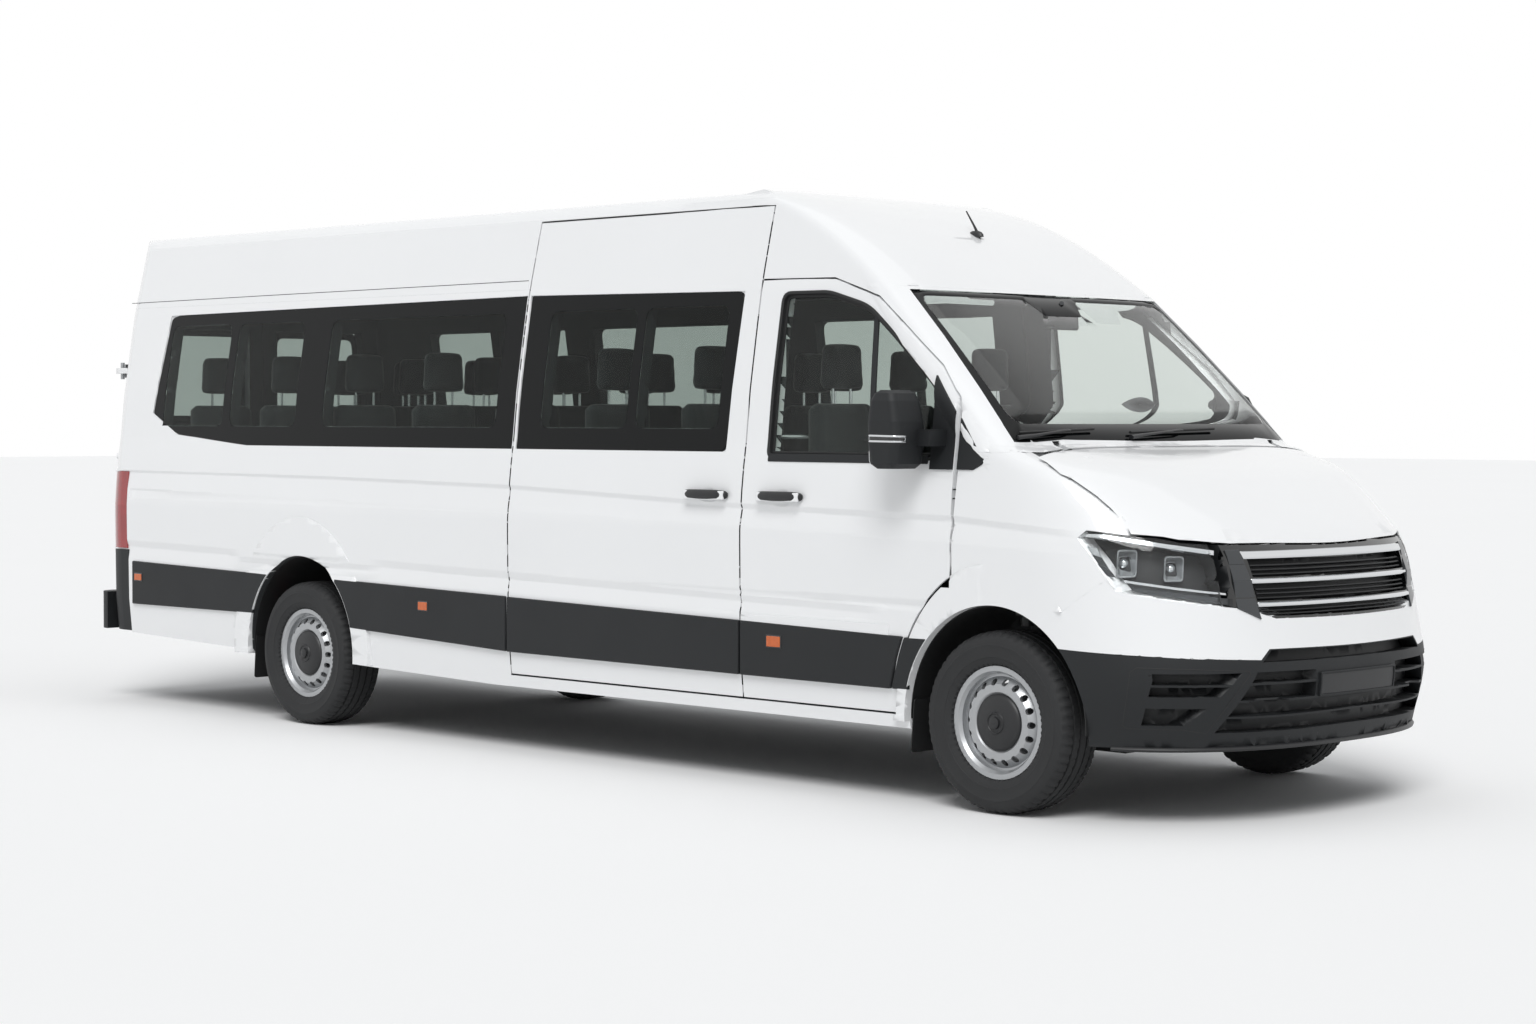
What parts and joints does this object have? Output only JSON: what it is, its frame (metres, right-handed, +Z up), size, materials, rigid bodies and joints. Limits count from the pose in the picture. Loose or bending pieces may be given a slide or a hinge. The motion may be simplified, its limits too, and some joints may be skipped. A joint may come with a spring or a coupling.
{
  "type": "minibus",
  "caption": "Long high-roof passenger minibus with opening cab doors, rear doors and bonnet, steered front wheels and rows of seats.",
  "frame": {"origin": "on the ground, under the middle of the vehicle's length and width", "axes": "+X forward along the vehicle, +Y to its left, +Z up"},
  "size_m": [7.391, 2.426, 2.55],
  "materials": {
    "white_paint": "gloss clear-coated white paint",
    "black_plastic": "grained unpainted bumper plastic",
    "gloss_black": "gloss black plastic",
    "window_glass": "green-grey tinted glass",
    "lamp_lens": "clear lamp lens",
    "red_lens": "red lamp lens",
    "rim_silver": "silver painted pressed steel",
    "tyre_rubber": "tyre rubber",
    "chassis_black": "satin black chassis paint",
    "engine_grey": "cast metal",
    "trim_grey": "dark grey moulded trim",
    "floor_grey": "ribbed floor covering",
    "seat_fabric": "woven dark grey seat fabric",
    "seat_steel": "powder-coated steel",
    "exhaust_steel": "aluminised steel"
  },
  "bodies": {
    "body": {"roof": "white_paint", "side_panel_left": "white_paint", "side_panel_right": "white_paint", "sliding_door": "white_paint", "cab_frame": "white_paint", "front_wings": "white_paint", "bumper_cover": "white_paint", "front_bumper": "black_plastic", "rear_bumper": "black_plastic", "grille": "gloss_black", "headlamps": "lamp_lens", "tail_lamps": "red_lens", "side_cladding": "black_plastic", "windscreen": "window_glass", "side_windows": "window_glass", "wheel_liners": "black_plastic", "chassis_rails": "chassis_black", "front_subframe": "chassis_black", "rear_axle": "chassis_black", "engine_block": "engine_grey", "fuel_tank": "trim_grey", "exhaust": "exhaust_steel", "floor_pan": "floor_grey", "dashboard": "trim_grey", "seat_cushions": "seat_fabric", "seat_backs": "seat_fabric", "seat_frames": "seat_steel"},
    "bonnet": {"bonnet": "white_paint"},
    "steering_wheel": {"steering_wheel": "trim_grey"},
    "front_door_left": {"door_left": "white_paint", "door_glass_left": "window_glass", "mirror_left": "black_plastic"},
    "back_door_left": {"rear_door_left": "white_paint", "rear_glass_left": "window_glass"},
    "steering_knuckle_left": {"knuckle_left": "chassis_black"},
    "wheel_front_left": {"rim_front_left": "rim_silver", "tyre_front_left": "tyre_rubber"},
    "wheel_rear_left": {"rim_rear_left": "rim_silver", "tyre_rear_left": "tyre_rubber"},
    "front_door_right": {"door_right": "white_paint", "door_glass_right": "window_glass", "mirror_right": "black_plastic"},
    "back_door_right": {"rear_door_right": "white_paint", "rear_glass_right": "window_glass"},
    "steering_knuckle_right": {"knuckle_right": "chassis_black"},
    "wheel_front_right": {"rim_front_right": "rim_silver", "tyre_front_right": "tyre_rubber"},
    "wheel_rear_right": {"rim_rear_right": "rim_silver", "tyre_rear_right": "tyre_rubber"}
  },
  "joints": [
    {"name": "front_door_left_swing", "type": "hinge", "parent": "body", "child": "front_door_left", "pos_m": [2.4675, 0.983, 1.1], "axis": [0, 0, -1], "range_deg": [0, 70]},
    {"name": "back_door_left_swing", "type": "hinge", "parent": "body", "child": "back_door_left", "pos_m": [-3.6355, 0.85, 1.3], "axis": [0, 0, -1], "range_deg": [0, 180]},
    {"name": "steer_left", "type": "hinge", "parent": "body", "child": "steering_knuckle_left", "pos_m": [2.6995, 0.793, 0.5], "axis": [0, 0, 1], "range_deg": [-35, 35]},
    {"name": "wheel_front_left_spin", "type": "hinge", "parent": "steering_knuckle_left", "child": "wheel_front_left", "pos_m": [2.6995, 0.883, 0.356], "axis": [0, 1, 0], "continuous": true},
    {"name": "wheel_rear_left_spin", "type": "hinge", "parent": "body", "child": "wheel_rear_left", "pos_m": [-1.7905, 0.883, 0.356], "axis": [0, 1, 0], "continuous": true},
    {"name": "front_door_right_swing", "type": "hinge", "parent": "body", "child": "front_door_right", "pos_m": [2.4675, -0.983, 1.1], "axis": [0, 0, 1], "range_deg": [0, 70]},
    {"name": "back_door_right_swing", "type": "hinge", "parent": "body", "child": "back_door_right", "pos_m": [-3.6355, -0.85, 1.3], "axis": [0, 0, 1], "range_deg": [0, 180]},
    {"name": "steer_right", "type": "hinge", "parent": "body", "child": "steering_knuckle_right", "pos_m": [2.6995, -0.793, 0.5], "axis": [0, 0, 1], "range_deg": [-35, 35]},
    {"name": "wheel_front_right_spin", "type": "hinge", "parent": "steering_knuckle_right", "child": "wheel_front_right", "pos_m": [2.6995, -0.883, 0.356], "axis": [0, 1, 0], "continuous": true},
    {"name": "wheel_rear_right_spin", "type": "hinge", "parent": "body", "child": "wheel_rear_right", "pos_m": [-1.7905, -0.883, 0.356], "axis": [0, 1, 0], "continuous": true},
    {"name": "bonnet_lift", "type": "hinge", "parent": "body", "child": "bonnet", "pos_m": [2.7595, 0, 1.372], "axis": [0, -1, 0], "range_deg": [0, 50]},
    {"name": "steering_wheel_turn", "type": "hinge", "parent": "body", "child": "steering_wheel", "pos_m": [2.1795, 0.49, 1.44], "axis": [-0.8829, 0, 0.4695], "range_deg": [-530, 530]}
  ],
  "couplings": [
    {"joint": "steer_right", "follows": "steer_left", "ratio": 1},
    {"joint": "steering_wheel_turn", "follows": "steer_left", "ratio": 15}
  ]
}
